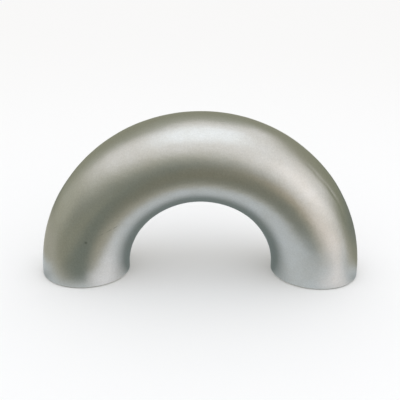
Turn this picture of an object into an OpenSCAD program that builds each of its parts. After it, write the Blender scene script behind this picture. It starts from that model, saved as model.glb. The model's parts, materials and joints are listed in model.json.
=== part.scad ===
// Butt-weld return bend: one length of steel pipe turned back on itself through a half circle.
// The bend stands on its two end faces, which share the plane z = 0.
// X runs through the centres of both ends, Y goes across the bend and +Z points to its crown.
// All sizes are in millimetres.

/* [Pipe] */
// Outside diameter of the pipe, nominal size 4 inch
pipe_od = 114.3; // [60.3:0.1:168.3]
// Wall thickness, schedule 10S
wall = 3.05; // [2:0.05:8]

/* [Bend] */
// Radius of the centre line, one and a half nominal sizes for a long-radius bend
bend_radius = 152.4; // [101.6:0.1:304.8]
// Straight pipe between the bend and each end face, left by sizing and facing the ends
straight_end = 5; // [5:0.5:50]

/* [Weld preparation] */
// Angle between the bevel and the end face
bevel_angle = 37.5; // [30:0.5:45]
// Width of the flat root face between the bore and the bevel
root_face = 1.6; // [0.8:0.1:2.4]

/* [Hidden] */
$fn = 144;

pipe_radius = pipe_od / 2;
bore_radius = pipe_radius - wall;
bend_angle = 180;
bevel_width = wall - root_face;
bevel_depth = bevel_width * tan(bevel_angle);

// Ring-shaped cut through the pipe wall, centred on the pipe's axis
module pipe_section() {
    difference() {
        circle(r = pipe_radius);
        circle(r = bore_radius);
    }
}

// Half of the pipe wall, cut along the axis of one straight end: the bore, the root face,
// the bevel and the outside, with the end face at y = 0
module weld_end_profile() {
    polygon([
        [bore_radius, 0],
        [bore_radius + root_face, 0],
        [pipe_radius, bevel_depth],
        [pipe_radius, straight_end],
        [bore_radius, straight_end],
    ]);
}

// The curved stretch, swept about the bend's own axis and stood upright on the straight ends
module curved_pipe() {
    translate([0, 0, straight_end])
        rotate([90, 0, 0])
            rotate_extrude(angle = bend_angle)
                translate([bend_radius, 0])
                    pipe_section();
}

// One straight end with its weld preparation
module weld_end() {
    rotate_extrude()
        weld_end_profile();
}

module return_bend() {
    color([0.70, 0.69, 0.66])
        union() {
            curved_pipe();
            for (side = [-1, 1])
                translate([side * bend_radius, 0, 0])
                    weld_end();
        }
}

return_bend();
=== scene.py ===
# %% [markdown]
# # A return bend in satin stainless steel
# A return bend sends a run of pipe back the way it came. This one is a single length of thin stainless
# pipe that was pushed hot through half a circle, blasted with fine beads to an even satin, and faced
# at both ends for welding. The measured solid of it is loaded first and is never changed. The mesh
# made in this lesson stands in its place, because the solid has no broken edges, no soft waves from
# the forming and no finish.

# %% Load the measured solid
import json
import math

import bmesh
import bpy
from mathutils import Matrix, Vector, noise


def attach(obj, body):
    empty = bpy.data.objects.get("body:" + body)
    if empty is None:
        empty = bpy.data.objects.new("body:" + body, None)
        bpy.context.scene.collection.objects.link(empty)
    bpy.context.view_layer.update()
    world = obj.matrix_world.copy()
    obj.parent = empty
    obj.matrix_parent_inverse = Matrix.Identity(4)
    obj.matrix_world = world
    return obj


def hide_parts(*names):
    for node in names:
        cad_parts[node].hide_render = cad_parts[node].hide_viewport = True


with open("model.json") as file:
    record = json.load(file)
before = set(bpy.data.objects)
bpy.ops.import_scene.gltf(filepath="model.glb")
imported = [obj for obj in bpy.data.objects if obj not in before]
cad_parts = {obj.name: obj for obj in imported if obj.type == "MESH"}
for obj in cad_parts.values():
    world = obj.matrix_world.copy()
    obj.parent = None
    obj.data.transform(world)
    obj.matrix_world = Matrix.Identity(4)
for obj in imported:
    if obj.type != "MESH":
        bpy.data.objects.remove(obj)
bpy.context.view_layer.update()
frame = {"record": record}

# %% [markdown]
# The sizes could be typed in again, but then two files would have to agree. The record of the solid
# names the places where pipe is welded on, so they are read from there: the outside of a straight end
# gives the pipe's radius and the height at which the curve starts, and the flat ring that the bend
# stands on gives the bore. Only the bevel's angle is written here, the usual one for a thin wall.

# %% Read the bend's sizes
MM = 0.001
WELD_BEVEL_ANGLE = math.radians(37.5)

joins = {join["name"]: join for join in frame["record"]["mounts"]}
straight_end = joins["right_pipe_end"]
straight_middle = Vector(straight_end["pos_m"])
half_straight = straight_end["dims"]["length_mm"] * MM / 2
root_middle = Vector(joins["right_weld_face"]["pos_m"])

bend_radius = straight_middle.x
pipe_radius = straight_end["dims"]["r_mm"] * MM
curve_start = straight_middle.z + half_straight
bevel_top = straight_middle.z - half_straight
root_radius = pipe_radius - bevel_top / math.tan(WELD_BEVEL_ANGLE)
bore_radius = 2 * (root_middle.x - bend_radius) - root_radius

sizes = {"bend radius": bend_radius, "pipe radius": pipe_radius, "bore radius": bore_radius}
for name, size in sizes.items():
    print(f"{name}: {size / MM:.2f} mm")

# %% [markdown]
# The curved pipe is a ring carried through half a turn. A torus cut in half would give the same skin,
# and so would a curve with a round section, but a spin leaves a clean open ring at each end for the
# weld ends to grow from. The bore is a second, smaller tube inside the first. It has fewer steps,
# because no fine shape is pressed into it. The skin lies a hundredth of a millimetre inside the
# measured size, so that no corner of the mesh stands proud of the solid.

# %% Spin the outside and the bore
SKIN_INSET = 0.01 * MM
RING_SIDES = 256
OUTSIDE_STEPS = 200
BORE_STEPS = 64
OUTSIDE, WELD_END, BORE = range(3)


def spin_tube(mesh, radius, steps, finish):
    """Carries a ring over the crown from the left end to the right; returns both end rings' edges."""
    half_side = Matrix.Rotation(math.pi / RING_SIDES, 4, "Z")
    left_end = Matrix.Translation((-bend_radius, 0, curve_start)) @ half_side
    ring = bmesh.ops.create_circle(mesh, segments=RING_SIDES, radius=radius, matrix=left_end)["verts"]
    left_ring = list(dict.fromkeys(edge for vert in ring for edge in vert.link_edges))
    older_faces = set(mesh.faces)
    spun = bmesh.ops.spin(
        mesh,
        geom=ring + left_ring,
        cent=(0, 0, curve_start),
        axis=(0, 1, 0),
        angle=math.pi,
        steps=steps,
    )
    for face in set(mesh.faces) - older_faces:
        face.material_index = finish
    right_ring = [part for part in spun["geom_last"] if isinstance(part, bmesh.types.BMEdge)]
    return left_ring, right_ring


skin_radius = pipe_radius - SKIN_INSET
bend = bmesh.new()
outside_rings = spin_tube(bend, skin_radius, OUTSIDE_STEPS, OUTSIDE)
bore_rings = spin_tube(bend, bore_radius, BORE_STEPS, BORE)
print("faces of the two tubes:", len(bend.faces))

# %% [markdown]
# Each end was faced on a lathe. Below the curve there is a short straight stretch, then a bevel that
# makes room for the weld, then a narrow flat root face round the bore. The open ring of the outside is
# extruded through those stations one after the other, and the last ring is bridged to the bore, so
# that the wall closes with no loose edge.

# %% Grow the weld ends
def step_ring(mesh, ring, radius, height, finish):
    """Extrudes an open ring to another radius and height; returns the edges of the new ring."""
    older = {vert for edge in ring for vert in edge.verts}
    grown = bmesh.ops.extrude_edge_only(mesh, edges=ring)["geom"]
    edges = [part for part in grown if isinstance(part, bmesh.types.BMEdge)]
    new_ring = [edge for edge in edges if not older & set(edge.verts)]
    verts = list(dict.fromkeys(vert for edge in new_ring for vert in edge.verts))
    centre = sum((vert.co for vert in verts), Vector()) / len(verts)
    share = radius / (verts[0].co - centre).length
    bmesh.ops.scale(mesh, verts=verts, vec=(share, share, 1), space=Matrix.Translation(-centre))
    bmesh.ops.translate(mesh, verts=verts, vec=(0, 0, height - centre.z))
    for part in grown:
        if isinstance(part, bmesh.types.BMFace):
            part.material_index = finish
    return new_ring


sharp_edges = []
for outside_ring, bore_ring in zip(outside_rings, bore_rings):
    bevel_ring = step_ring(bend, outside_ring, skin_radius, bevel_top, OUTSIDE)
    root_ring = step_ring(bend, bevel_ring, root_radius, SKIN_INSET, WELD_END)
    bore_mouth = step_ring(bend, root_ring, bore_radius, SKIN_INSET, WELD_END)
    closing = bmesh.ops.bridge_loops(bend, edges=bore_mouth + bore_ring)
    for face in closing["faces"]:
        face.material_index = BORE
    sharp_edges += bevel_ring + root_ring + bore_mouth
open_edges = [edge for edge in bend.edges if edge.is_boundary]
print("edges left open:", len(open_edges))

# %% [markdown]
# A lathe leaves edges that cut, so they are broken with a file. A narrow bevel does the same here. It
# is only a quarter of a millimetre wide, but without it no edge would catch the light. The faces are
# turned outwards first, because a spin doesn't know which side of its skin is the metal.

# %% Break the sharp edges
EDGE_BREAK = 0.25 * MM

bmesh.ops.recalc_face_normals(bend, faces=bend.faces)
bmesh.ops.bevel(
    bend,
    geom=sharp_edges,
    offset=EDGE_BREAK,
    offset_type="OFFSET",
    affect="EDGES",
    segments=3,
    profile=0.5,
    material=-1,
)
print("faces with the edges broken:", len(bend.faces))

# %% [markdown]
# Hot pipe that is pushed round a bend never comes out quite true: its skin has long, shallow waves
# that make reflections waver, and here a faint groove along the outer side of the right leg as well.
# They are far too shallow to see in the outline. Bump could fake them, but they are part of the shape,
# so the skin itself is moved, and only inwards, which keeps the bend inside its measured size. The
# waves are three layers of noise, each half as long and half as deep as the one before, and they die
# out towards the ends, which were sized after the bending. The groove sways and swells with two fixed
# rows of noise, because a noise vector would start from another seed on each run.

# %% Wave the skin
WAVE_LENGTH = 60 * MM
WAVE_DEPTH = 0.5 * MM
WAVE_FALLOFF = 1
WAVE_RATIO = 2
WAVE_LAYERS = 3
SIZED_HEIGHT = 40 * MM
GROOVE_AROUND = math.radians(36)
GROOVE_ALONG = math.radians(36)
GROOVE_HALF_LENGTH = math.radians(12)
GROOVE_WIDTH = 2.5 * MM
GROOVE_DEPTH = 0.35 * MM
GROOVE_SWAY = 4 * MM
GROOVE_SWAY_LENGTH = 16 * MM
SWAY_ROW = 10.5
SWELL_ROW = 4.5


def wave_depth(spot):
    """How far the long waves press the skin in at a spot on it."""
    fade = min(1, (spot.z - curve_start) / SIZED_HEIGHT)
    wave = noise.fractal(spot / WAVE_LENGTH, WAVE_FALLOFF, WAVE_RATIO, WAVE_LAYERS)
    return WAVE_DEPTH * fade * min(1, max(0, 0.5 + 0.5 * wave))


def groove_depth(spot):
    """How far the groove presses the skin in: it sways and swells along the leg and fades at its ends."""
    rise = spot.z - curve_start
    along = math.atan2(rise, spot.x)
    around = math.atan2(-spot.y, math.hypot(spot.x, rise) - bend_radius)
    run = along * bend_radius / GROOVE_SWAY_LENGTH
    sway = noise.noise((run, SWAY_ROW, 0))
    swell = noise.noise((run, SWELL_ROW, 0))
    across = ((around - GROOVE_AROUND) * pipe_radius - GROOVE_SWAY * sway) / GROOVE_WIDTH
    ends = (along - GROOVE_ALONG) / GROOVE_HALF_LENGTH
    return GROOVE_DEPTH * (1 + swell) * math.exp(-across * across - ends**4)


deepest = 0
bend.normal_update()
for vert in bend.verts:
    if all(face.material_index == OUTSIDE for face in vert.link_faces) and vert.co.z > curve_start:
        depth = wave_depth(vert.co) + groove_depth(vert.co)
        vert.co -= vert.normal * depth
        deepest = max(deepest, depth)
print(f"deepest place in the skin: {deepest / MM:.2f} mm")

# %% [markdown]
# The bmesh becomes an object. Weighted normals let the large faces decide the shading, so that the
# narrow broken edges are round while the root face stays flat. The object rides on the part's only
# body and stands for the solid, which is then not shown.

# %% Make the bend an object
skin = bpy.data.meshes.new("return_bend_skin")
for face in bend.faces:
    face.smooth = True
bend.to_mesh(skin)
bend.free()

return_bend = bpy.data.objects.new("return_bend_skin", skin)
bpy.context.scene.collection.objects.link(return_bend)
return_bend.modifiers.new("even_shading", "WEIGHTED_NORMAL").keep_sharp = True
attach(return_bend, "root")
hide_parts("return_bend")
print("corners:", len(skin.vertices), "faces:", len(skin.polygons))

# %% [markdown]
# Blasting beats the surface into a fine grain of shallow dents, and pickling in acid afterwards leaves
# soft clouds that are a little warmer or duller than their surroundings. The clouds raise the height
# too, because a surface that acid has worked on isn't level, and this mottles the reflections. The
# outside, the bore and even the turned ends have some of both, so the effect is one node group, placed
# in each material with its own values. It gives a colour, a roughness and a height.

# %% Build the blasted grain
CLOUD_LENGTH = 45 * MM
CLOUD_LIMITS = (0.35, 0.65)
CLOUD_DULLING = 0.05
CLOUD_HEIGHT = 8
GRAIN_LIMITS = (0.25, 0.75)
SPECKLE = (0.91, 1.06)


def place(tree, kind, inputs=None, **settings):
    """Adds a node with its settings. An input is a value, or the output socket that feeds it."""
    node = tree.nodes.new(kind)
    for name, value in settings.items():
        setattr(node, name, value)
    for name, value in (inputs or {}).items():
        if isinstance(value, bpy.types.NodeSocket):
            tree.links.new(value, node.inputs[name])
        else:
            node.inputs[name].default_value = value
    return node


def maths(tree, operation, first, second):
    """The output of a Math node on two values or sockets."""
    return place(tree, "ShaderNodeMath", {0: first, 1: second}, operation=operation).outputs[0]


def rescale(tree, value, low, high, new_low=0, new_high=1, **settings):
    """The output of a Map Range node, which carries one range over to another and stops at its ends."""
    limits = {"Value": value, "From Min": low, "From Max": high, "To Min": new_low, "To Max": new_high}
    return place(tree, "ShaderNodeMapRange", limits, **settings).outputs["Result"]


def mix_colours(tree, share, first, second, blend="MIX"):
    """The colour output of a Mix node, whose inputs 6 and 7 and output 2 are the ones for colours."""
    colours = {0: share, 6: first, 7: second}
    return place(tree, "ShaderNodeMix", colours, data_type="RGBA", blend_type=blend).outputs[2]


blasted_grain = bpy.data.node_groups.new("blasted_grain", "ShaderNodeTree")
for name, kind in (
    ("Metal", "NodeSocketColor"),
    ("Cloud", "NodeSocketColor"),
    ("Cloud Share", "NodeSocketFloat"),
    ("Mean Roughness", "NodeSocketFloat"),
    ("Grain Size", "NodeSocketFloat"),
):
    blasted_grain.interface.new_socket(name, in_out="INPUT", socket_type=kind)
for name, kind in (
    ("Colour", "NodeSocketColor"),
    ("Roughness", "NodeSocketFloat"),
    ("Height", "NodeSocketFloat"),
):
    blasted_grain.interface.new_socket(name, in_out="OUTPUT", socket_type=kind)

given = place(blasted_grain, "NodeGroupInput").outputs
where = place(blasted_grain, "ShaderNodeTexCoord").outputs["Object"]
clouds = place(
    blasted_grain,
    "ShaderNodeTexNoise",
    {"Vector": where, "Scale": 1 / CLOUD_LENGTH, "Detail": 4, "Roughness": 0.8},
).outputs["Fac"]
grain = place(
    blasted_grain,
    "ShaderNodeTexNoise",
    {"Vector": where, "Scale": maths(blasted_grain, "DIVIDE", 1, given["Grain Size"]), "Detail": 3},
).outputs["Fac"]

patches = rescale(blasted_grain, clouds, *CLOUD_LIMITS)
cloud_mask = maths(blasted_grain, "MULTIPLY", patches, given["Cloud Share"])
clouded = mix_colours(blasted_grain, cloud_mask, given["Metal"], given["Cloud"])
speckle = rescale(blasted_grain, grain, *GRAIN_LIMITS, *SPECKLE)
speckled = mix_colours(blasted_grain, 1, clouded, speckle, "MULTIPLY")

off_mean = maths(blasted_grain, "SUBTRACT", patches, 0.5)
dulling = maths(blasted_grain, "MULTIPLY", off_mean, CLOUD_DULLING)
roughness = maths(blasted_grain, "ADD", given["Mean Roughness"], dulling)
swell = maths(blasted_grain, "MULTIPLY", clouds, CLOUD_HEIGHT)
height = maths(blasted_grain, "ADD", grain, swell)
place(blasted_grain, "NodeGroupOutput", {"Colour": speckled, "Roughness": roughness, "Height": height})
print("nodes in the blasted grain:", len(blasted_grain.nodes))

# %% [markdown]
# Each finish starts in the same way: a material with the grain group, a bump that turns its height
# into slopes, and a Principled shader that is metal all over. A helper makes that much and names the
# nodes, so that each finish finds them again and adds only what it has of its own. The outside, the
# satin that gives the bend its look, is the first. Real stainless steel is slightly warm.

# %% Finish the outside
STEEL = (0.645, 0.635, 0.605)
WARM_STEEL = (0.595, 0.57, 0.515)


def metal_finish(name, metal, cloud, cloud_share, mean_roughness, grain_size, dent_depth):
    """A blasted metal material, with nodes named Grain and Dents before its shader."""
    material = bpy.data.materials.new(name)
    material.use_nodes = True
    tree = material.node_tree
    shader = tree.nodes["Principled BSDF"]
    shader.inputs["Metallic"].default_value = 1
    values = {
        "Metal": (*metal, 1),
        "Cloud": (*cloud, 1),
        "Cloud Share": cloud_share,
        "Mean Roughness": mean_roughness,
        "Grain Size": grain_size,
    }
    surface = place(tree, "ShaderNodeGroup", node_tree=blasted_grain, name="Grain")
    for socket, value in values.items():
        surface.inputs[socket].default_value = value
    dents = {"Distance": dent_depth, "Height": surface.outputs["Height"]}
    bump = place(tree, "ShaderNodeBump", dents, name="Dents")
    tree.links.new(surface.outputs["Colour"], shader.inputs["Base Color"])
    tree.links.new(surface.outputs["Roughness"], shader.inputs["Roughness"])
    tree.links.new(bump.outputs["Normal"], shader.inputs["Normal"])
    print(name, "has a mean roughness of", mean_roughness)
    return material


satin_outside = metal_finish(
    "satin_outside",
    metal=STEEL,
    cloud=WARM_STEEL,
    cloud_share=0.6,
    mean_roughness=0.315,
    grain_size=1.8 * MM,
    dent_depth=0.04 * MM,
)

# %% [markdown]
# Two small marks of handling are kept: a dark pit on the front of the left leg, and a fine scratch
# beside it. Painting them on an image would need a flat map of the whole skin. A soft mask by distance
# is enough, from a point for the pit and from a line for the scratch. Space is squeezed along the
# line, and a little into the metal, so that the distance to its middle makes a long thin mask that
# the round skin stays in. A coarse noise lets the scratch skip here and there, as a real one does.

# %% Mark the outside
PIT = Vector((-141.6, -57.2, 63.0)) * MM
PIT_RADIUS = 2.8 * MM
SCRATCH_START = Vector((-131, -57, 69)) * MM
SCRATCH_END = Vector((-92, -50, 89)) * MM
SCRATCH_WIDTH = 1 * MM
SCRATCH_DEPTH = 5 * MM
SCRATCH_STRENGTH = 0.9
SKIP_LENGTH = 5 * MM
SKIP_LIMITS = (0.42, 0.58)
MARK_COLOUR = (0.33, 0.33, 0.30, 1)


def near_mask(tree, distance, reach):
    """1 at no distance, falling smoothly to 0 at that reach."""
    return rescale(tree, distance, 0, reach, 1, 0, interpolation_type="SMOOTHSTEP")


def vector_maths(tree, operation, first, second=(0, 0, 0)):
    """The node for an operation on two vectors or sockets."""
    return place(tree, "ShaderNodeVectorMath", {0: first, 1: second}, operation=operation)


tree = satin_outside.node_tree
where = place(tree, "ShaderNodeTexCoord").outputs["Object"]
pit_distance = vector_maths(tree, "DISTANCE", where, PIT).outputs["Value"]
pit_mask = near_mask(tree, pit_distance, PIT_RADIUS)

scratch_line = SCRATCH_END - SCRATCH_START
scratch_place = {
    "Vector": where,
    "Location": (SCRATCH_START + SCRATCH_END) / 2,
    "Rotation": scratch_line.to_track_quat("X", "Z").to_euler(),
}
along_scratch = place(tree, "ShaderNodeMapping", scratch_place, vector_type="TEXTURE").outputs["Vector"]
half_length = scratch_line.length / 2
squeeze = (SCRATCH_WIDTH / half_length, SCRATCH_WIDTH / SCRATCH_DEPTH, 1)
squeezed = vector_maths(tree, "MULTIPLY", along_scratch, squeeze).outputs["Vector"]
scratch_distance = vector_maths(tree, "LENGTH", squeezed).outputs["Value"]
skips = place(tree, "ShaderNodeTexNoise", {"Vector": along_scratch, "Scale": 1 / SKIP_LENGTH, "Detail": 0})
touching = rescale(tree, skips.outputs["Fac"], *SKIP_LIMITS, 0, SCRATCH_STRENGTH)
scratch_mask = maths(tree, "MULTIPLY", near_mask(tree, scratch_distance, SCRATCH_WIDTH), touching)

marks = maths(tree, "MAXIMUM", pit_mask, scratch_mask)
marked = mix_colours(tree, marks, tree.nodes["Grain"].outputs["Colour"], MARK_COLOUR)
tree.links.new(marked, tree.nodes["Principled BSDF"].inputs["Base Color"])
print(f"a pit {2 * PIT_RADIUS / MM:.1f} mm across and a scratch {scratch_line.length / MM:.0f} mm long")

# %% [markdown]
# The bevel and the root face were cut on a lathe, so they are brighter than the blasted skin and carry
# fine grooves that run round the pipe. A wave texture in rings gives the grooves: at a scale of 1 its
# wave turns through 20 radians in a metre, and a larger scale makes it finer. Taking the absolute value
# of x folds the left end onto the right one, so that one set of rings serves both ends.

# %% Finish the weld ends
TURNING_PITCH = 0.3 * MM
RADIANS_PER_METRE = 20
CUT_STEEL = (0.66, 0.65, 0.63)

turned_weld_end = metal_finish(
    "turned_weld_end",
    metal=CUT_STEEL,
    cloud=STEEL,
    cloud_share=0.5,
    mean_roughness=0.33,
    grain_size=0.8 * MM,
    dent_depth=0.01 * MM,
)
tree = turned_weld_end.node_tree
where = place(tree, "ShaderNodeTexCoord").outputs["Object"]
folded = vector_maths(tree, "ABSOLUTE", where).outputs["Vector"]
pipe_axis = {"Vector": folded, "Location": (-bend_radius, 0, 0)}
round_the_pipe = place(tree, "ShaderNodeMapping", pipe_axis).outputs["Vector"]
rings = {"Vector": round_the_pipe, "Scale": 2 * math.pi / (RADIANS_PER_METRE * TURNING_PITCH)}
grooves = place(tree, "ShaderNodeTexWave", rings, wave_type="RINGS", rings_direction="Z").outputs["Fac"]
grooved = maths(tree, "ADD", tree.nodes["Grain"].outputs["Height"], grooves)
tree.links.new(grooved, tree.nodes["Dents"].inputs["Height"])
print(f"pitch of the turned grooves: {TURNING_PITCH / MM:.1f} mm")

# %% [markdown]
# Inside, beads can't reach far, so the bore keeps a coarser, duller and slightly browner skin from
# the furnace and the acid. The same group makes it, with a larger grain and more cloud.

# %% Finish the bore
PICKLED_STEEL = (0.50, 0.48, 0.44)
SCALE_BROWN = (0.36, 0.33, 0.28)

pickled_bore = metal_finish(
    "pickled_bore",
    metal=PICKLED_STEEL,
    cloud=SCALE_BROWN,
    cloud_share=0.8,
    mean_roughness=0.48,
    grain_size=2.2 * MM,
    dent_depth=0.06 * MM,
)
for finish in (satin_outside, turned_weld_end, pickled_bore):
    skin.materials.append(finish)
print("finishes:", [finish.name for finish in skin.materials])

# %% [markdown]
# The bend stands on a plain pale floor under an even white sky. With a sky of strength 1, a colour
# renders about as it is written, and the floor comes out nearly white with the bend's own soft shadow
# on it. The floor lies a hair below the end faces, so that the two never share a plane.

# %% Lay the floor and the sky
FLOOR_SIZE = 30
FLOOR_GAP = 0.1 * MM
FLOOR_COLOUR = (0.945, 0.94, 0.935, 1)
SKY_COLOUR = (1, 1, 1, 1)
SKY_STRENGTH = 1


def stage_object(name, mesh):
    """Makes a finished bmesh an object that is not part of the bend."""
    data = bpy.data.meshes.new(name)
    mesh.to_mesh(data)
    mesh.free()
    thing = bpy.data.objects.new(name, data)
    bpy.context.scene.collection.objects.link(thing)
    return thing


plane = bmesh.new()
bmesh.ops.create_grid(plane, x_segments=1, y_segments=1, size=FLOOR_SIZE / 2)
bmesh.ops.translate(plane, verts=plane.verts, vec=(0, 0, -FLOOR_GAP))
floor = stage_object("floor", plane)
pale_floor = bpy.data.materials.new("pale_floor")
pale_floor.use_nodes = True
paint = pale_floor.node_tree.nodes["Principled BSDF"].inputs
paint["Base Color"].default_value = FLOOR_COLOUR
paint["Roughness"].default_value = 1
paint["Specular IOR Level"].default_value = 0
floor.data.materials.append(pale_floor)

sky = bpy.data.worlds.new("white_sky")
sky.use_nodes = True
light = sky.node_tree.nodes["Background"].inputs
light["Color"].default_value = SKY_COLOUR
light["Strength"].default_value = SKY_STRENGTH
bpy.context.scene.world = sky
bpy.context.scene.view_settings.view_transform = "Standard"
print("floor", FLOOR_SIZE, "m across, sky strength", SKY_STRENGTH)

# %% [markdown]
# Metal is seen by what it mirrors, and under a plain white sky it would look like white plastic. A
# photographer gives it something to mirror: a dim room around it, a table, a sheet of paper at its
# feet. The cards here stand for those, as painted reflections: each card's glow paints the light and
# shade of what it stands for. Only mirrored rays meet them, so that they neither show nor shade the
# floor from any side. Each glows evenly in its own colour and fades out at its edges, because a room
# has few hard borders. For that, a card is a fine grid, each point of the grid carries its distance
# from the edge, and the material turns the distance into a cover.

# %% Cut a soft card
CARD_CELLS = 40


def cut_card(width, height):
    """A flat card round the origin; each point of its grid carries its distance from the edge."""
    mesh = bmesh.new()
    bmesh.ops.create_grid(mesh, x_segments=CARD_CELLS, y_segments=CARD_CELLS, size=0.5)
    bmesh.ops.scale(mesh, verts=mesh.verts, vec=(width, height, 1))
    from_edge = mesh.verts.layers.float.new("from_edge")
    for vert in mesh.verts:
        vert[from_edge] = min(width / 2 - abs(vert.co.x), height / 2 - abs(vert.co.y))
    return mesh


def mirrored_only(name, mesh, colour, fade):
    """Makes a card a painted reflection: an object that glows, fades out near its edge and is met by
    mirrored rays alone.
    """
    material = bpy.data.materials.new(name)
    material.use_nodes = True
    tree = material.node_tree
    tree.nodes.clear()
    from_edge = place(tree, "ShaderNodeAttribute", attribute_name="from_edge").outputs["Fac"]
    cover = maths(tree, "MINIMUM", maths(tree, "DIVIDE", from_edge, fade), 1)
    clear = place(tree, "ShaderNodeBsdfTransparent").outputs["BSDF"]
    glow = place(tree, "ShaderNodeEmission", {"Color": (*colour, 1), "Strength": 1}).outputs["Emission"]
    faded = place(tree, "ShaderNodeMixShader", {0: cover, 1: clear, 2: glow}).outputs["Shader"]
    place(tree, "ShaderNodeOutputMaterial", {"Surface": faded})
    card = stage_object(name, mesh)
    card.data.materials.append(material)
    card.visible_camera = False
    card.visible_diffuse = False
    card.visible_transmission = False
    card.visible_shadow = False
    print(name, "glows at", colour)


print("cells in a card:", CARD_CELLS * CARD_CELLS)

# %% [markdown]
# The room's walls are cards rolled round the bend. Behind it the room is dark to above the camera,
# and in front the wall is dark below and grey above. On the right the ring is left open for a window,
# with a low dark chest beside it. Each wall reaches below the floor by as much as it fades, so that
# only its top and sides are seen to fade.

# %% Stand the walls
WALL_DISTANCE = 1.5
WALL_GAP = 0.01
DARK_WALL = (0.16, 0.19, 0.17)
GREY_WALL = (0.49, 0.50, 0.42)
DARK_ROOM = (0.33, 0.34, 0.26)
DARK_CHEST = (0.28, 0.30, 0.22)
DIM_ROOM = (0.41, 0.43, 0.36)


def wall(name, colour, first, last, height, layer, fade=0.6):
    """A card rolled round the bend between two azimuths: 0 is in front of the bend and 90 on its right."""
    distance = WALL_DISTANCE - layer * WALL_GAP
    middle = math.radians(first + last) / 2
    width = distance * math.radians(last - first)
    mesh = cut_card(width, height + fade)
    for vert in mesh.verts:
        turn = middle + vert.co.x / distance
        rise = vert.co.y + (height - fade) / 2
        vert.co = distance * math.sin(turn), -distance * math.cos(turn), rise
    mirrored_only(name, mesh, colour, fade)


wall("wall_in_front", GREY_WALL, first=-125, last=24, height=1.13, layer=1)
wall("foot_of_the_wall", DARK_WALL, first=-78, last=31, height=0.59, layer=2)
wall("room_behind", DIM_ROOM, first=129, last=269, height=3.78, layer=0)
wall("room_on_the_right", DARK_ROOM, first=82, last=246, height=1.86, layer=2)
wall("chest_on_the_right", DARK_CHEST, first=73, last=155, height=0.55, layer=3, fade=0.3)

# %% [markdown]
# The table is mirrored in the lower half of the pipe. It is grey and brown where its wood is bare, with
# painted shadow where it lies in shade, painted light on the left and a painted pool of window light at
# the right. A board lies under the bend and a sheet of bluish paper at its feet. The paper has painted
# gleams by the left foot and towards the window, and painted shade on a part of it beside the right
# foot. The bend's own shadow under its arch is painted as a dark card too. The cards for these lie on
# the floor in layers a fifth of a millimetre apart.

# %% Lay the table
CARD_GAP = 0.2 * MM
GREY_TABLE = (0.32, 0.33, 0.26)
TABLE_SHADE = (0.20, 0.23, 0.20)
BARE_WOOD = (0.47, 0.40, 0.27)
WOOD_IN_SHADE = (0.24, 0.23, 0.165)
LIT_TABLE = (0.47, 0.47, 0.40)
BOARD = (0.44, 0.43, 0.35)
BLUE_PAPER = (0.67, 0.73, 0.78)
SHADED_PAPER = (0.44, 0.43, 0.35)
LIT_PAPER = (0.93, 0.95, 1.00)
SUNLIT_TABLE = (1.12, 1.04, 0.99)
WINDOW_GLEAM = (1.27, 1.21, 1.23)
ARCH_SHADE = (0.19, 0.23, 0.23)


def table_card(name, colour, middle, size, fade, layer, turn=0):
    """A card that lies on the floor, turned about its middle by some degrees, some layers up."""
    mesh = cut_card(*size)
    place_on_table = Matrix.Translation((*middle, layer * CARD_GAP))
    placing = place_on_table @ Matrix.Rotation(math.radians(turn), 4, "Z")
    bmesh.ops.transform(mesh, verts=mesh.verts, matrix=placing)
    mirrored_only(name, mesh, colour, fade)


table_card("table", GREY_TABLE, (0, 0), (3.2, 3.2), fade=0.1, layer=1)
# painted shadow on the table, behind the bend and in front of it
table_card("shade_behind", TABLE_SHADE, (0.43, 0.81), (2.35, 1.57), fade=0.14, layer=2)
table_card("shade_in_front", TABLE_SHADE, (-0.045, -0.786), (0.43, 1.43), fade=0.005, layer=2)
table_card("bare_wood", BARE_WOOD, (0.35, -0.8), (0.5, 0.96), fade=0.1, layer=3)
# the bare wood again, with painted shade on it
table_card("wood_in_shade", WOOD_IN_SHADE, (0, -0.47), (0.3, 0.67), fade=0.15, layer=4)
# painted light on the table at the left
table_card("light_on_the_left", LIT_TABLE, (-0.54, 0.13), (0.74, 0.48), fade=0.053, layer=5)
table_card("board", BOARD, (-0.03, 0.098), (0.55, 0.236), fade=0.034, layer=5, turn=-88)
table_card("paper", BLUE_PAPER, (0.29, -0.105), (1.145, 0.2), fade=0.033, layer=6, turn=-15)
# a painted gleam on the paper by the left foot
table_card("gleam_by_the_foot", LIT_PAPER, (-0.102, -0.047), (0.088, 0.1), fade=0.024, layer=7)
# painted shade on the paper beside the right foot
table_card("shade_by_the_foot", SHADED_PAPER, (0.325, -0.03), (0.18, 0.1), fade=0.05, layer=7)
# a painted pool of window light on the table, and a painted gleam of it on the paper
table_card("window_light", SUNLIT_TABLE, (0.568, -0.542), (0.536, 1.006), fade=0.135, layer=7, turn=18.6)
table_card("window_gleam", WINDOW_GLEAM, (0.498, -0.254), (0.804, 0.076), fade=0.062, layer=8, turn=-30.8)
# the bend's own shadow under its arch, painted as a dark card
table_card("shade_under_the_arch", ARCH_SHADE, (0, 0.155), (0.46, 0.41), fade=0.047, layer=9)

# %% [markdown]
# Two soft boxes finish the light: one overhead, slightly to the front, whose reflection is the bright
# band along the crown, and one in the window on the right. They are only a little brighter than the
# sky behind them, so that the floor keeps its colour.

# %% Hang the soft boxes
COOL_LIGHT = (0.67, 0.82, 1)
WINDOW_LIGHT = (1, 0.92, 0.95)


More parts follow.
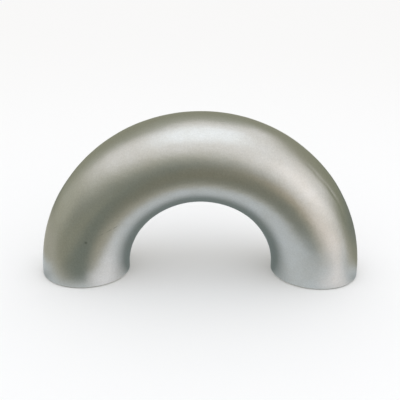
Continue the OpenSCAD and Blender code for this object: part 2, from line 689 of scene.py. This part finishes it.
def direction(azimuth, elevation):
    """A step of length 1 away from the bend, for angles in degrees."""
    turn = math.radians(azimuth)
    rise = math.radians(elevation)
    return Vector((math.sin(turn) * math.cos(rise), -math.cos(turn) * math.cos(rise), math.sin(rise)))


def soft_box(name, colour, brightness, size, azimuth, elevation, distance):
    """An area lamp that faces the bend, with the brightness that a mirror would add to the sky."""
    lamp = bpy.data.lights.new(name, "AREA")
    lamp.shape = "RECTANGLE"
    lamp.size, lamp.size_y = size
    lamp.energy = brightness * math.pi * lamp.size * lamp.size_y
    lamp.color = colour
    box = bpy.data.objects.new(name, lamp)
    bpy.context.scene.collection.objects.link(box)
    away = direction(azimuth, elevation)
    box.location = Vector((0, 0, bend_radius)) + away * distance
    box.rotation_euler = away.to_track_quat("Z", "Y").to_euler()
    print(f"{name}: {lamp.energy:.2f} W")


soft_box("overhead_box", COOL_LIGHT, 0.55, (1.39, 1.06), azimuth=0, elevation=74, distance=1.5)
soft_box("window_box", WINDOW_LIGHT, 0.35, (0.85, 1.1), azimuth=51, elevation=14, distance=1.9)

# %% [markdown]
# The camera stands a little above the bend and almost square to it, so that the arch shows whole. Its
# place was found by laying the outline of the solid over the view to be matched. A small roll is
# part of that fit, because a hand-held camera is never quite level.

# %% Set the camera
LOOK_AT = Vector((-1.7, 0, 98.95)) * MM
VIEW_DISTANCE = 794 * MM
VIEW_AZIMUTH = -0.78
VIEW_ELEVATION = 20.64
VIEW_ROLL = math.radians(0.74)
LENS_MM = 55.25
SENSOR_WIDTH_MM = 36

eye = bpy.data.cameras.new("photo_camera")
eye.sensor_width = SENSOR_WIDTH_MM
eye.lens = LENS_MM
camera = bpy.data.objects.new("photo_camera", eye)
bpy.context.scene.collection.objects.link(camera)
back = direction(VIEW_AZIMUTH, VIEW_ELEVATION)
aim = back.to_track_quat("Z", "Y").to_matrix().to_4x4()
stand = Matrix.Translation(LOOK_AT + back * VIEW_DISTANCE)
camera.matrix_world = stand @ aim @ Matrix.Rotation(VIEW_ROLL, 4, "Z")
bpy.context.scene.camera = camera
print("camera at", [round(c, 3) for c in camera.location])
